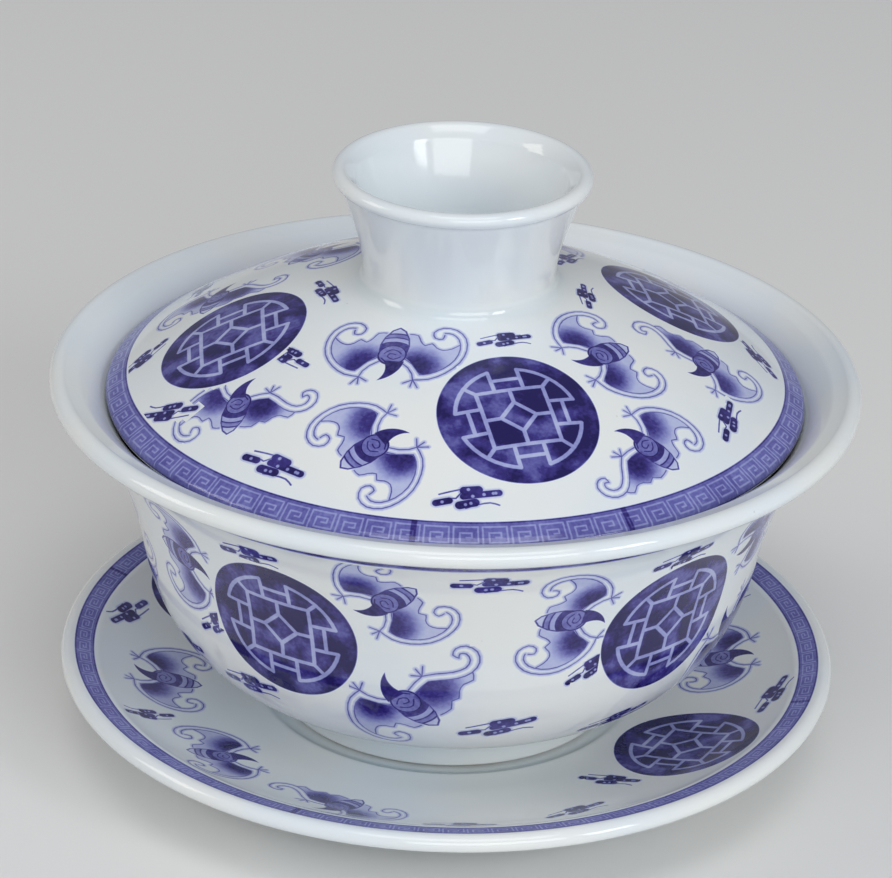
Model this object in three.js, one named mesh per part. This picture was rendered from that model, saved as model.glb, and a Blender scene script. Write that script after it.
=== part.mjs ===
// A gaiwan: a lidded porcelain tea bowl on its saucer. Three thrown and fired pieces that only rest
// on each other. Millimetres, +Z up, origin on the table under the middle of the saucer.
import * as THREE from "three";

// ---- Driving dimensions ----

const ROUND_SEGMENTS = 48; // facets round each turned piece
const CURVE_STEPS = 7; // points along each curve of an outline
const ARC_STEPS = 3; // half the points round each rolled or rounded edge
const SEAT_GAP = 0.3; // left between two pieces that rest on each other

// Saucer: a shallow dish with a sunk well that takes the bowl's foot.
const SAUCER_RADIUS = 50.9; // to the outside of the rolled edge
const SAUCER_EDGE = 1.2; // radius of the rolled edge
const SAUCER_RISE = 5.7; // from the well's floor to the middle of the rolled edge
const SAUCER_BORDER = 3.6; // width of the nearly flat border inside the rolled edge
const SAUCER_WALL = 2.4;
const SAUCER_FOOT_RADIUS = 27;
const SAUCER_FOOT_WIDTH = 2.6;
const SAUCER_FOOT_HEIGHT = 2.4;
const WELL_CLEARANCE = 1.2; // between the bowl's foot ring and the side of the well
const WELL_DEPTH = 0.8; // from the ridge round the well down to its floor
const WELL_RIDGE = 1.5; // width of the slope up to that ridge
const SAUCER_EDGE_START = -30; // degrees round the rolled edge where the underside meets it
const SAUCER_EDGE_END = 105; // degrees round the rolled edge where the border meets it
const SAUCER_HOLLOW = 0.7; // how far the bend below the border drops, as a share of its width

// Bowl: foot ring, round hip, tapered wall and a wide flared rim with a rolled lip.
const BOWL_HEIGHT = 45.1; // from the foot's rest face to the middle of the lip
const RIM_RADIUS = 52; // to the outside of the lip
const LIP = 1.3; // radius of the rolled lip
const BOWL_WALL = 2.6;
const BOWL_FLOOR = 3; // thickness in the middle
const WAIST_RADIUS = 40.4; // outside of the wall where the hip ends and the flare begins
const WAIST_HEIGHT = 24.1;
const FOOT_RADIUS = 22.3;
const FOOT_WIDTH = 2.4;
const FOOT_HEIGHT = 4.2;
const FOOT_STEP = [1, 0.5]; // out and up from the top of the foot ring to the start of the hip
const HIP_FULLNESS = 0.65; // how far out the hip runs low down, as a share of its width
const HIP_LIFT = 0.12; // how much it climbs there, as a share of its height
const WAIST_SLOPE = 0.09; // how much the wall still opens at the waist, as a share of its width
const FLARE_STRAIGHT = 0.4; // how far up the wall stays steep before it flares
const LIP_START = [0.62, 1.15]; // in and down from the middle of the lip, in lip radii
const FLOOR_EDGE = 0.7; // where the flat of the floor ends inside, as a share of the foot's radius
const FLOOR_DISH = 0.1; // how much the floor rises there

// Lid: a domed plate that drops into the flare, with a hollow flared knob luted on.
const LID_INSET = 7.2; // from the outside of the bowl's lip in to the lid's edge
const LID_EDGE = 1.1; // radius of the lid's rounded edge
const LID_WALL = 2.4;
const LID_RISE = 15.2; // from the middle of the lid's edge to the foot of the knob
const KNOB_FOOT_RADIUS = 12.1;
const KNOB_RADIUS = 16.4; // to the outside of the knob's lip
const KNOB_LIP = 1;
const KNOB_HEIGHT = 14.5; // from the foot of the knob to the middle of its lip
const KNOB_WALL = 1.9;
const KNOB_DEPTH = 12; // from the middle of the knob's lip down to its floor
const KNOB_FLARE = 1; // how much the knob still opens at its lip
const DOME_SHOULDER = [0.3, 0.42]; // how far in and up the dome rounds at its edge, as shares
const DOME_CROWN = [0.4, 0.16]; // how far out and down it rounds at the knob, as shares

// ---- Outlines ----

// Points of one curve: a cubic from a to b that leaves and arrives along the two given pulls.
function sweep(a, pullA, pullB, b) {
  const start = new THREE.Vector2(...a);
  const end = new THREE.Vector2(...b);
  const leave = start.clone().add(new THREE.Vector2(...pullA));
  const arrive = end.clone().add(new THREE.Vector2(...pullB));
  return new THREE.CubicBezierCurve(start, leave, arrive, end).getPoints(CURVE_STEPS);
}

// Points round an arc about (r, z), from one angle to another, in degrees.
function rounded(r, z, radius, from, to) {
  const [a, b] = [from, to].map(THREE.MathUtils.degToRad);
  return new THREE.Path().absarc(r, z, radius, a, b, b < a).getPoints(ARC_STEPS);
}

// The same line moved sideways by a distance, to the left of the way it runs.
function beside(points, distance) {
  return points.map((p, i) => {
    const before = points[Math.max(i - 1, 0)];
    const after = points[Math.min(i + 1, points.length - 1)];
    const along = after.clone().sub(before).normalize();
    return new THREE.Vector2(p.x - along.y * distance, p.y + along.x * distance);
  });
}

// The height at which a line reaches a radius.
function heightAt(points, radius) {
  const i = points.findIndex((p, k) => k > 0 && (points[k - 1].x - radius) * (p.x - radius) <= 0);
  if (i < 0) throw new Error(`the line never reaches radius ${radius}`);
  const [a, b] = [points[i - 1], points[i]];
  return a.y + ((b.y - a.y) * (radius - a.x)) / (b.x - a.x);
}

// One closed turned body from an outline that starts and ends on the axis.
function turned(name, outline, colour) {
  const points = outline.flat().map((p) => (Array.isArray(p) ? new THREE.Vector2(...p) : p));
  const shape = new THREE.LatheGeometry(points, ROUND_SEGMENTS);
  shape.rotateX(Math.PI / 2);
  const glaze = new THREE.MeshStandardMaterial({ color: colour, roughness: 0.12, metalness: 0 });
  const mesh = new THREE.Mesh(shape, glaze);
  mesh.name = name;
  return mesh;
}

// ---- Saucer ----

const WELL_FLOOR = SAUCER_FOOT_HEIGHT + SAUCER_WALL;
const WELL_RADIUS = FOOT_RADIUS + WELL_CLEARANCE;

function makeSaucer() {
  const edgeR = SAUCER_RADIUS - SAUCER_EDGE;
  const edgeZ = WELL_FLOOR + SAUCER_RISE;
  const ridge = [WELL_RADIUS + WELL_RIDGE, WELL_FLOOR + WELL_DEPTH];
  const borderR = edgeR - SAUCER_BORDER;
  const border = [borderR, edgeZ + SAUCER_EDGE / 5];
  const run = borderR - ridge[0];
  const bend = SAUCER_RISE / 2;
  const footInside = SAUCER_FOOT_RADIUS - SAUCER_FOOT_WIDTH;
  const inside = sweep(ridge, [run / 2, 0], [-bend, -bend * SAUCER_HOLLOW], border);
  const edge = rounded(edgeR, edgeZ, SAUCER_EDGE, SAUCER_EDGE_START, SAUCER_EDGE_END);
  const underAngle = THREE.MathUtils.degToRad(SAUCER_EDGE_START * 2);
  const underEdge = [
    edgeR + SAUCER_EDGE * Math.cos(underAngle),
    edgeZ + SAUCER_EDGE * Math.sin(underAngle),
  ];
  const footTop = [SAUCER_FOOT_RADIUS + SAUCER_FOOT_HEIGHT / 4, SAUCER_FOOT_HEIGHT];
  const reach = underEdge[0] - footTop[0];
  const under = sweep(footTop, [reach / 2, 0], [-reach / 3, -bend], underEdge);
  return turned("saucer", [
    [[0, SAUCER_FOOT_HEIGHT]],
    [[footInside, SAUCER_FOOT_HEIGHT]],
    [[footInside, 0]],
    [[SAUCER_FOOT_RADIUS, 0]],
    under,
    edge,
    inside.reverse(),
    [[WELL_RADIUS, WELL_FLOOR]],
    [[0, WELL_FLOOR]],
  ], 0xe4e7ea);
}

// ---- Bowl ----

const BOWL_BASE = WELL_FLOOR + SEAT_GAP;
const LIP_R = RIM_RADIUS - LIP;
const LIP_Z = BOWL_BASE + BOWL_HEIGHT;

// The outside of the bowl from the top of its foot ring up to the underside of the lip.
function bowlOutside() {
  const foot = [FOOT_RADIUS + FOOT_STEP[0], BOWL_BASE + FOOT_HEIGHT + FOOT_STEP[1]];
  const waist = [WAIST_RADIUS, BOWL_BASE + WAIST_HEIGHT];
  const lip = [LIP_R - LIP * LIP_START[0], LIP_Z - LIP * LIP_START[1]];
  const hipRun = waist[0] - foot[0];
  const hipRise = waist[1] - foot[1];
  const flareRun = lip[0] - waist[0];
  const flareRise = lip[1] - waist[1];
  const hip = sweep(foot, [hipRun * HIP_FULLNESS, hipRise * HIP_LIFT],
    [-hipRun * WAIST_SLOPE, -hipRise / 2], waist);
  const flare = sweep(waist, [flareRun / 6, flareRise * FLARE_STRAIGHT],
    [-flareRun / 2, -flareRise / 7], lip);
  return [...hip, ...flare.slice(1)];
}

function makeBowl() {
  const outside = bowlOutside();
  const inside = beside(outside, BOWL_WALL).reverse();
  const floorZ = BOWL_BASE + FOOT_HEIGHT + BOWL_FLOOR;
  const footInside = FOOT_RADIUS - FOOT_WIDTH;
  const hollow = inside.filter((p) => p.y > floorZ + FOOT_STEP[1]);
  return turned("bowl", [
    [[0, BOWL_BASE + FOOT_HEIGHT]],
    [[footInside, BOWL_BASE + FOOT_HEIGHT]],
    [[footInside, BOWL_BASE]],
    [[FOOT_RADIUS, BOWL_BASE]],
    outside,
    rounded(LIP_R, LIP_Z, LIP, -45, 135),
    hollow,
    [[FOOT_RADIUS * FLOOR_EDGE, floorZ + FLOOR_DISH]],
    [[0, floorZ]],
  ], 0xe4e7ea);
}

// ---- Lid ----

function makeLid() {
  // The lid's rounded edge touches the flare all round, so its middle lies on a line beside the wall.
  const seats = beside(bowlOutside(), BOWL_WALL + SEAT_GAP + LID_EDGE);
  const edgeR = RIM_RADIUS - LID_INSET - LID_EDGE;
  const edgeZ = heightAt(seats, edgeR);
  const footZ = edgeZ + LID_RISE;
  const lipR = KNOB_RADIUS - KNOB_LIP;
  const lipZ = footZ + KNOB_HEIGHT;
  const edgeTop = [edgeR + LID_EDGE * Math.SQRT1_2, edgeZ + LID_EDGE * Math.SQRT1_2];
  const run = edgeTop[0] - KNOB_FOOT_RADIUS;
  const shoulder = [-run * DOME_SHOULDER[0], LID_RISE * DOME_SHOULDER[1]];
  const crown = [run * DOME_CROWN[0], -LID_RISE * DOME_CROWN[1]];
  const dome = sweep(edgeTop, shoulder, crown, [KNOB_FOOT_RADIUS, footZ]);
  const hollow = beside(dome, LID_WALL).reverse().filter((p) => p.x < edgeR - LID_EDGE);
  const knobSide = sweep([KNOB_FOOT_RADIUS, footZ], [0, KNOB_HEIGHT / 3],
    [-KNOB_FLARE, -KNOB_HEIGHT / 5], [lipR, lipZ - KNOB_LIP]);
  const bore = beside(knobSide, KNOB_WALL).reverse();
  const floorZ = lipZ - KNOB_DEPTH;
  return turned("lid", [
    [[0, footZ - LID_WALL / 2]],
    hollow,
    rounded(edgeR, edgeZ, LID_EDGE, -135, 30),
    dome,
    knobSide.slice(1),
    rounded(lipR, lipZ, KNOB_LIP, -60, 150),
    bore.filter((p) => p.y > floorZ + KNOB_WALL / 2),
    [[KNOB_FOOT_RADIUS - KNOB_WALL * 1.5, floorZ]],
    [[0, floorZ]],
  ], 0xe6e9ec);
}

const gaiwan = new THREE.Group();
gaiwan.add(makeSaucer(), makeBowl(), makeLid());

export default gaiwan;
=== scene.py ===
import math

import bpy
import numpy as np
from mathutils import Matrix, Vector


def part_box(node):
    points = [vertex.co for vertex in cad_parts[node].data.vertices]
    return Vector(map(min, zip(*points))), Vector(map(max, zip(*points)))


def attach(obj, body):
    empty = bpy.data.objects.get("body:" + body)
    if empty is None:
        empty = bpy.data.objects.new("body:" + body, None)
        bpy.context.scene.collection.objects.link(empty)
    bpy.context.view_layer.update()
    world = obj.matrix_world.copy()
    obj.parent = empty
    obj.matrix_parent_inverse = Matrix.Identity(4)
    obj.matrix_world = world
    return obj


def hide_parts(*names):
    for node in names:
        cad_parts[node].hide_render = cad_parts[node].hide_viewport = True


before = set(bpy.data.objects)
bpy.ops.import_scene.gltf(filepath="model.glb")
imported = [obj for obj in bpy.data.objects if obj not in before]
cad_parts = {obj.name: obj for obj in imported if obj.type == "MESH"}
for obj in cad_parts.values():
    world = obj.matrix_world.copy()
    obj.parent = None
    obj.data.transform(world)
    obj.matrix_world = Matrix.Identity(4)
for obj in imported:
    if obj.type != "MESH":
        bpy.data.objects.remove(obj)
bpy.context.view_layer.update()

# ---- Saucer ------------------------------------------------------------------------------------
# A shallow dish with a sunk well that takes the bowl's foot. It is turned on the wheel from
# porcelain clay, and its edge is rolled with a wet sponge before the firing.

MM = 0.001
STEPS_ROUND = 288  # faces round each turned piece
ROW = 0.8 * MM  # spacing of the rows of faces along a curve
ARC_STEP = 15  # degrees between the points of a rounded edge
WELD = 0.004 * MM  # points nearer than this are one

SAUCER_EDGE = 1.2 * MM
SAUCER_BORDER = 3.6 * MM
SAUCER_FOOT_RADIUS = 27 * MM
SAUCER_FOOT_WIDTH = 2.6 * MM
SAUCER_FOOT_HEIGHT = 2.4 * MM
WELL_FLOOR = 4.8 * MM
WELL_RADIUS = 23.5 * MM
WELL_RIDGE = 1.5 * MM
WELL_DEPTH = 0.8 * MM
FOOT_EASE = 0.45 * MM  # rounding of a trimmed foot ring
SOFT_EASE = 1.1 * MM  # rounding where two glazed surfaces meet


def sweep(a, pull_a, pull_b, b):
    """Points of one curve from a to b, a row apart, that leaves and arrives along the two pulls."""
    a, b = Vector(a), Vector(b)
    leave, arrive = a + Vector(pull_a), b + Vector(pull_b)
    length = (leave - a).length + (arrive - leave).length + (b - arrive).length
    steps = max(3, round(length / ROW))
    points = []
    for i in range(steps + 1):
        t = i / steps
        s = 1 - t
        points.append(a * s**3 + leave * (3 * s * s * t) + arrive * (3 * s * t * t) + b * t**3)
    return points


def straight(a, b):
    """Points of a straight line from a to b, a row apart."""
    return sweep(a, (0, 0), (0, 0), b)


def rounded(r, z, radius, first, last):
    """Points round an arc about (r, z), from one angle to another, in degrees."""
    steps = round(abs(last - first) / ARC_STEP)
    angles = [math.radians(first + (last - first) * i / steps) for i in range(steps + 1)]
    return [Vector((r + radius * math.cos(a), z + radius * math.sin(a))) for a in angles]


def beside(points, distance):
    """The same line moved sideways, to the left of the way it runs."""
    moved = []
    for i, point in enumerate(points):
        ahead = points[min(i + 1, len(points) - 1)]
        along = (ahead - points[max(i - 1, 0)]).normalized()
        moved.append(point + Vector((-along.y, along.x)) * distance)
    return moved


def eased(before, corner, after, radius):
    """Points that round off one corner of an outline."""
    before, corner, after = Vector(before), Vector(corner), Vector(after)
    a = corner + (before - corner).normalized() * radius
    b = corner + (after - corner).normalized() * radius
    return [a.lerp(corner, t).lerp(corner.lerp(b, t), t) for t in (0, 0.25, 0.5, 0.75, 1)]


def foot_ring(base, inside, outside, height, beyond):
    """The outline of the hollow under a piece and of its foot ring, from the axis outwards."""
    ceiling, floor = base + height, base
    return [
        Vector((0, ceiling)),
        *eased((0, ceiling), (inside, ceiling), (inside, floor), SOFT_EASE),
        *eased((inside, ceiling), (inside, floor), (outside, floor), FOOT_EASE),
        *eased((inside, floor), (outside, floor), beyond, FOOT_EASE),
    ]


def turned(name, outline):
    """One closed piece, spun round the axis from an outline that starts and ends on it."""
    bpy.ops.object.select_all(action="DESELECT")
    bpy.ops.mesh.primitive_circle_add(vertices=3, radius=MM, location=(0, 0, 0))
    piece = bpy.context.object
    piece.name = name
    bpy.ops.object.mode_set(mode="EDIT")
    bpy.ops.mesh.select_all(action="SELECT")
    bpy.ops.mesh.merge(type="CENTER")
    bpy.ops.transform.translate(value=(0, 0, outline[0].y))
    for a, b in zip(outline, outline[1:]):
        step = (b.x - a.x, 0, b.y - a.y)
        bpy.ops.mesh.extrude_region_move(TRANSFORM_OT_translate={"value": step})
    bpy.ops.mesh.select_all(action="SELECT")
    bpy.ops.mesh.spin(steps=STEPS_ROUND, angle=math.tau, center=(0, 0, 0), axis=(0, 0, 1))
    bpy.ops.mesh.select_all(action="SELECT")
    bpy.ops.mesh.remove_doubles(threshold=WELD)
    bpy.ops.mesh.normals_make_consistent(inside=False)
    bpy.ops.mesh.faces_shade_smooth()
    bpy.ops.object.mode_set(mode="OBJECT")
    return piece


saucer_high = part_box("saucer")[1]
saucer_edge_r = saucer_high.x - SAUCER_EDGE
saucer_edge_z = saucer_high.z - SAUCER_EDGE
border_end = Vector((saucer_edge_r - SAUCER_BORDER, saucer_edge_z + SAUCER_EDGE / 5))
ridge = Vector((WELL_RADIUS + WELL_RIDGE, WELL_FLOOR + WELL_DEPTH))
saucer_bend = (saucer_edge_z - WELL_FLOOR) / 2
saucer_roll = rounded(saucer_edge_r, saucer_edge_z, SAUCER_EDGE, -30, 105)
foot_top = Vector((SAUCER_FOOT_RADIUS + SAUCER_FOOT_HEIGHT / 4, SAUCER_FOOT_HEIGHT))
under_reach = saucer_roll[0].x - foot_top.x
saucer_under = sweep(foot_top, (under_reach / 2, 0), (-under_reach / 3, -saucer_bend), saucer_roll[0])

# The decorated face, from the rolled edge in to the ridge round the well.
saucer_dish = sweep(border_end, (-saucer_bend, -0.7 * saucer_bend),
                    ((border_end.x - ridge.x) / 2, 0), ridge)
saucer_face = straight(saucer_roll[-1], border_end)[:-1] + saucer_dish
well_corner = (WELL_RADIUS, WELL_FLOOR)

saucer = turned("saucer_body", [
    *foot_ring(0, SAUCER_FOOT_RADIUS - SAUCER_FOOT_WIDTH, SAUCER_FOOT_RADIUS,
               SAUCER_FOOT_HEIGHT, foot_top),
    *saucer_under,
    *saucer_roll,
    *saucer_face[1:-1],
    *eased(saucer_face[-2], ridge, well_corner, FOOT_EASE),
    *eased(ridge, well_corner, (0, WELL_FLOOR), SOFT_EASE),
    Vector((0, WELL_FLOOR)),
])
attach(saucer, "saucer")
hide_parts("saucer")

# ---- Bowl --------------------------------------------------------------------------------------
# The tea bowl: a trimmed foot ring, a round hip, a wall that opens slowly and then flares wide, so
# that the lip stays cool to hold. Thrown in one piece from the same clay.

BOWL_LIP = 1.3 * MM
BOWL_WALL = 2.6 * MM
BOWL_FLOOR = 3 * MM
WAIST_RADIUS = 40.4 * MM
WAIST_HEIGHT = 24.1 * MM
FOOT_RADIUS = 22.3 * MM
FOOT_WIDTH = 2.4 * MM
FOOT_HEIGHT = 4.2 * MM

bowl_low, bowl_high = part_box("bowl")
bowl_lip_r = bowl_high.x - BOWL_LIP
bowl_lip_z = bowl_high.z - BOWL_LIP
hip_start = Vector((FOOT_RADIUS + MM, bowl_low.z + FOOT_HEIGHT + 0.5 * MM))
waist = Vector((WAIST_RADIUS, bowl_low.z + WAIST_HEIGHT))
flare_end = Vector((bowl_lip_r - 0.62 * BOWL_LIP, bowl_lip_z - 1.15 * BOWL_LIP))
hip = waist - hip_start
flare = flare_end - waist
bowl_hip = sweep(hip_start, (0.65 * hip.x, 0.12 * hip.y), (-0.09 * hip.x, -hip.y / 2), waist)
bowl_flare = sweep(waist, (flare.x / 6, 0.4 * flare.y), (-flare.x / 2, -flare.y / 7), flare_end)

# The decorated face, from the foot up to the underside of the lip.
bowl_face = bowl_hip + bowl_flare[1:]
bowl_floor = bowl_low.z + FOOT_HEIGHT + BOWL_FLOOR
bowl_inside = [p for p in beside(bowl_face, BOWL_WALL) if p.y > bowl_floor + 0.4 * MM]

bowl = turned("bowl_body", [
    *foot_ring(bowl_low.z, FOOT_RADIUS - FOOT_WIDTH, FOOT_RADIUS, FOOT_HEIGHT, hip_start),
    *eased((FOOT_RADIUS, bowl_low.z), hip_start, bowl_face[3], SOFT_EASE),
    *bowl_face[3:],
    *rounded(bowl_lip_r, bowl_lip_z, BOWL_LIP, -45, 135),
    *reversed(bowl_inside),
    Vector((0.7 * FOOT_RADIUS, bowl_floor + 0.1 * MM)),
    Vector((0, bowl_floor)),
])
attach(bowl, "bowl")
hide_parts("bowl")

# ---- Lid ---------------------------------------------------------------------------------------
# A domed lid that drops into the flare of the bowl, with a hollow flared knob that also serves as
# its foot when the lid is laid upside down. The knob is thrown apart and joined with slip.

LID_EDGE = 1.1 * MM
LID_WALL = 2.4 * MM
LID_RISE = 15.2 * MM
KNOB_FOOT_RADIUS = 12.1 * MM
KNOB_LIP = 1 * MM
KNOB_LIP_RADIUS = 15.4 * MM
KNOB_WALL = 1.9 * MM
KNOB_DEPTH = 12 * MM
KNOB_CORNER = 2 * MM  # the rounding at the bottom of its hollow
KNOB_JOIN = 1.8 * MM  # the fillet of slip round the foot of the knob

lid_low, lid_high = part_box("lid")
lid_edge_r = lid_high.x - LID_EDGE
lid_edge_z = lid_low.z + LID_EDGE
knob_lip_z = lid_high.z - KNOB_LIP
knob_foot = Vector((KNOB_FOOT_RADIUS, lid_edge_z + LID_RISE))
knob_height = knob_lip_z - knob_foot.y
dome_edge = Vector((lid_edge_r + 0.7 * LID_EDGE, lid_edge_z + 0.7 * LID_EDGE))
dome_run = dome_edge.x - knob_foot.x
knob_top = Vector((KNOB_LIP_RADIUS, knob_lip_z - KNOB_LIP))
knob_side = sweep(knob_foot, (0, knob_height / 3), (-MM, -knob_height / 5), knob_top)
knob_floor = knob_lip_z - KNOB_DEPTH
knob_bore = [p for p in beside(knob_side, KNOB_WALL) if p.y > knob_floor + KNOB_WALL]
knob_corner = (KNOB_FOOT_RADIUS - 1.5 * KNOB_WALL, knob_floor)

# The decorated face, from the lid's edge up to the foot of the knob.
lid_face = sweep(dome_edge, (-0.3 * dome_run, 0.42 * LID_RISE),
                 (0.4 * dome_run, -0.16 * LID_RISE), knob_foot)
lid_hollow = [p for p in beside(lid_face, LID_WALL) if p.x < lid_edge_r - LID_EDGE]

lid = turned("lid_body", [
    Vector((0, knob_foot.y - LID_WALL / 2)),
    *reversed(lid_hollow),
    *rounded(lid_edge_r, lid_edge_z, LID_EDGE, -135, 30),
    *lid_face[:-3],
    *eased(lid_face[-3], knob_foot, knob_side[3], KNOB_JOIN),
    *knob_side[3:],
    *rounded(KNOB_LIP_RADIUS, knob_lip_z, KNOB_LIP, -60, 150),
    *reversed(knob_bore),
    *eased(knob_bore[0], knob_corner, (0, knob_floor), KNOB_CORNER),
    Vector((0, knob_floor)),
])
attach(lid, "lid")
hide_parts("lid")

# ---- Glaze -------------------------------------------------------------------------------------
# Clear feldspar glaze, poured over white porcelain. It is faintly blue where it lies thick, in the
# corners and round the foot of the knob, and its surface has a slight orange peel from the firing.


def node(tree, kind, **settings):
    """A new shader node with its settings and, by socket name, its inputs: values or outputs."""
    made = tree.nodes.new("ShaderNode" + kind)
    inputs = settings.pop("inputs", {})
    for name, value in settings.items():
        setattr(made, name, value)
    for name, value in inputs.items():
        if isinstance(value, bpy.types.NodeSocket):
            tree.links.new(value, made.inputs[name])
        else:
            made.inputs[name].default_value = value
    return made


def calc(tree, work, a, b=0.0, c=0.0):
    """The result of one sum on up to three values, each a number or another node's output."""
    made = node(tree, "Math", operation=work, inputs={0: a, 1: b, 2: c})
    return made.outputs[0]


def ramp(tree, value, low, high, to_low=0.0, to_high=1.0):
    """A value eased from to_low at low to to_high at high."""
    made = node(tree, "MapRange", interpolation_type="SMOOTHSTEP", clamp=False, inputs={
        "Value": value, "From Min": low, "From Max": high, "To Min": to_low, "To Max": to_high})
    return made.outputs["Result"]


def blend_colour(tree, share, a, b):
    """Colour a turning into colour b as the share goes from 0 to 1."""
    made = node(tree, "Mix", data_type="RGBA", inputs={0: share, 6: a, 7: b})
    return made.outputs[2]


def new_group(name, inputs, outputs):
    """An empty node group with its sockets, and its two end nodes."""
    tree = bpy.data.node_groups.new(name, "ShaderNodeTree")
    for label, (kind, value) in inputs.items():
        socket = tree.interface.new_socket(label, in_out="INPUT", socket_type="NodeSocket" + kind)
        socket.default_value = value
    for label, kind in outputs.items():
        tree.interface.new_socket(label, in_out="OUTPUT", socket_type="NodeSocket" + kind)
    return tree, tree.nodes.new("NodeGroupInput"), tree.nodes.new("NodeGroupOutput")


porcelain, porcelain_in, porcelain_out = new_group(
    "Glazed porcelain",
    {"White": ("Color", (0.745, 0.80, 0.835, 1)), "Thick glaze": ("Color", (0.56, 0.68, 0.75, 1))},
    {"Colour": "Color", "Gloss": "Float", "Surface": "Vector"},
)
place = node(porcelain, "TexCoord").outputs["Object"]
firing = node(porcelain, "TexNoise", inputs={"Vector": place, "Scale": 38.0, "Detail": 3.0})
warm = blend_colour(porcelain, ramp(porcelain, firing.outputs["Fac"], 0.35, 0.68),
                    porcelain_in.outputs["White"], (0.80, 0.815, 0.80, 1))
pooled = node(porcelain, "Attribute", attribute_name="pool")
thick = calc(porcelain, "MULTIPLY", pooled.outputs["Fac"], 0.5)
glazed_white = blend_colour(porcelain, thick, warm, porcelain_in.outputs["Thick glaze"])
specks = node(porcelain, "TexVoronoi", inputs={"Vector": place, "Scale": 150.0})
speck = ramp(porcelain, specks.outputs["Distance"], 0.012, 0.03, 0.35, 0.0)
speckled = blend_colour(porcelain, speck, glazed_white, (0.42, 0.39, 0.35, 1))
porcelain.links.new(speckled, porcelain_out.inputs["Colour"])
smear = node(porcelain, "TexNoise", inputs={"Vector": place, "Scale": 90.0, "Detail": 4.0})
gloss = ramp(porcelain, smear.outputs["Fac"], 0.3, 0.75, 0.055, 0.12)
porcelain.links.new(gloss, porcelain_out.inputs["Gloss"])
peel = node(porcelain, "TexNoise", inputs={"Vector": place, "Scale": 420.0, "Detail": 1.0})
thrown = node(porcelain, "Mapping", inputs={"Vector": place, "Scale": (40.0, 40.0, 260.0)})
rings = node(porcelain, "TexNoise", inputs={"Vector": thrown.outputs[0], "Scale": 1.0})
relief = calc(porcelain, "MULTIPLY_ADD", rings.outputs["Fac"], 3.0, peel.outputs["Fac"])
ripple = node(porcelain, "Bump", inputs={"Height": relief, "Strength": 0.35, "Distance": 0.00003})
porcelain.links.new(ripple.outputs[0], porcelain_out.inputs["Surface"])

GLAZE_IOR = 1.52


def glazed(name, colour_of=None):
    """A glazed material; colour_of(tree, ground) may print on the white before it is glazed."""
    material = bpy.data.materials.new(name)
    material.use_nodes = True
    tree = material.node_tree
    shader = tree.nodes["Principled BSDF"]
    body = node(tree, "Group", node_tree=porcelain)
    colour = body.outputs["Colour"]
    if colour_of:
        colour = colour_of(tree, colour)
    tree.links.new(colour, shader.inputs["Base Color"])
    tree.links.new(body.outputs["Gloss"], shader.inputs["Roughness"])
    tree.links.new(body.outputs["Surface"], shader.inputs["Normal"])
    shader.inputs["IOR"].default_value = GLAZE_IOR
    return material


POOL_REACH = 2.2 * MM


def pool_glaze(piece, corners):
    """Marks how thick the glaze has pooled near each corner of the outline that is named."""
    points = np.array([v.co for v in piece.data.vertices])
    radius = np.hypot(points[:, 0], points[:, 1])
    thickness = np.zeros(len(points))
    for r, z in corners:
        near = np.hypot(radius - r, points[:, 2] - z)
        thickness = np.maximum(thickness, np.clip(1 - near / POOL_REACH, 0, 1))
    attribute = piece.data.attributes.new("pool", "FLOAT", "POINT")
    attribute.data.foreach_set("value", thickness.astype(np.float32))


pool_glaze(saucer, [well_corner, (WELL_RADIUS, SAUCER_FOOT_HEIGHT), foot_top])
pool_glaze(bowl, [hip_start, (FOOT_RADIUS - FOOT_WIDTH, bowl_low.z + FOOT_HEIGHT)])
pool_glaze(lid, [knob_foot, knob_corner])
plain_glaze = glazed("clear_glaze")
for piece in (saucer, bowl, lid):
    piece.data.materials.append(plain_glaze)

# ---- Bare feet ---------------------------------------------------------------------------------
# The rest faces of both foot rings are wiped clean of glaze, so that they don't stick to the kiln
# shelf. The bare clay is matt, slightly grey and sandy, and stained where it has been stood down.

BARE_HEIGHT = 0.3 * MM

bare_clay = bpy.data.materials.new("bare_clay")
bare_clay.use_nodes = True
tree = bare_clay.node_tree
place = node(tree, "TexCoord").outputs["Object"]
sand = node(tree, "TexNoise", inputs={"Vector": place, "Scale": 2600.0, "Detail": 2.0})
stain = node(tree, "TexNoise", inputs={"Vector": place, "Scale": 120.0, "Detail": 4.0})
clay = blend_colour(tree, ramp(tree, stain.outputs["Fac"], 0.4, 0.7),
                    (0.74, 0.72, 0.68, 1), (0.55, 0.50, 0.43, 1))
grain = blend_colour(tree, ramp(tree, sand.outputs["Fac"], 0.55, 0.75, 0.0, 0.4), clay, (0.4, 0.36, 0.32, 1))
rough = ramp(tree, sand.outputs["Fac"], 0.2, 0.8, 0.62, 0.85)
pits = node(tree, "Bump", inputs={"Height": sand.outputs["Fac"], "Strength": 0.6, "Distance": 0.00006})
shader = tree.nodes["Principled BSDF"]
tree.links.new(grain, shader.inputs["Base Color"])
tree.links.new(rough, shader.inputs["Roughness"])
tree.links.new(pits.outputs[0], shader.inputs["Normal"])

for piece, foot_radius, rest in ((saucer, SAUCER_FOOT_RADIUS, 0), (bowl, FOOT_RADIUS, bowl_low.z)):
    piece.data.materials.append(bare_clay)
    for face in piece.data.polygons:
        if face.center.z < rest + BARE_HEIGHT and face.center.to_2d().length < foot_radius:
            face.material_index = 1

# ---- Transfers: cobalt under the glaze ---------------------------------------------------------
# The blue decoration comes as printed transfers of cobalt colour, soaked off their paper, slid on
# by hand and glazed over. Cobalt runs from a lilac wash to a deep violet blue as it lies thicker.

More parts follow.
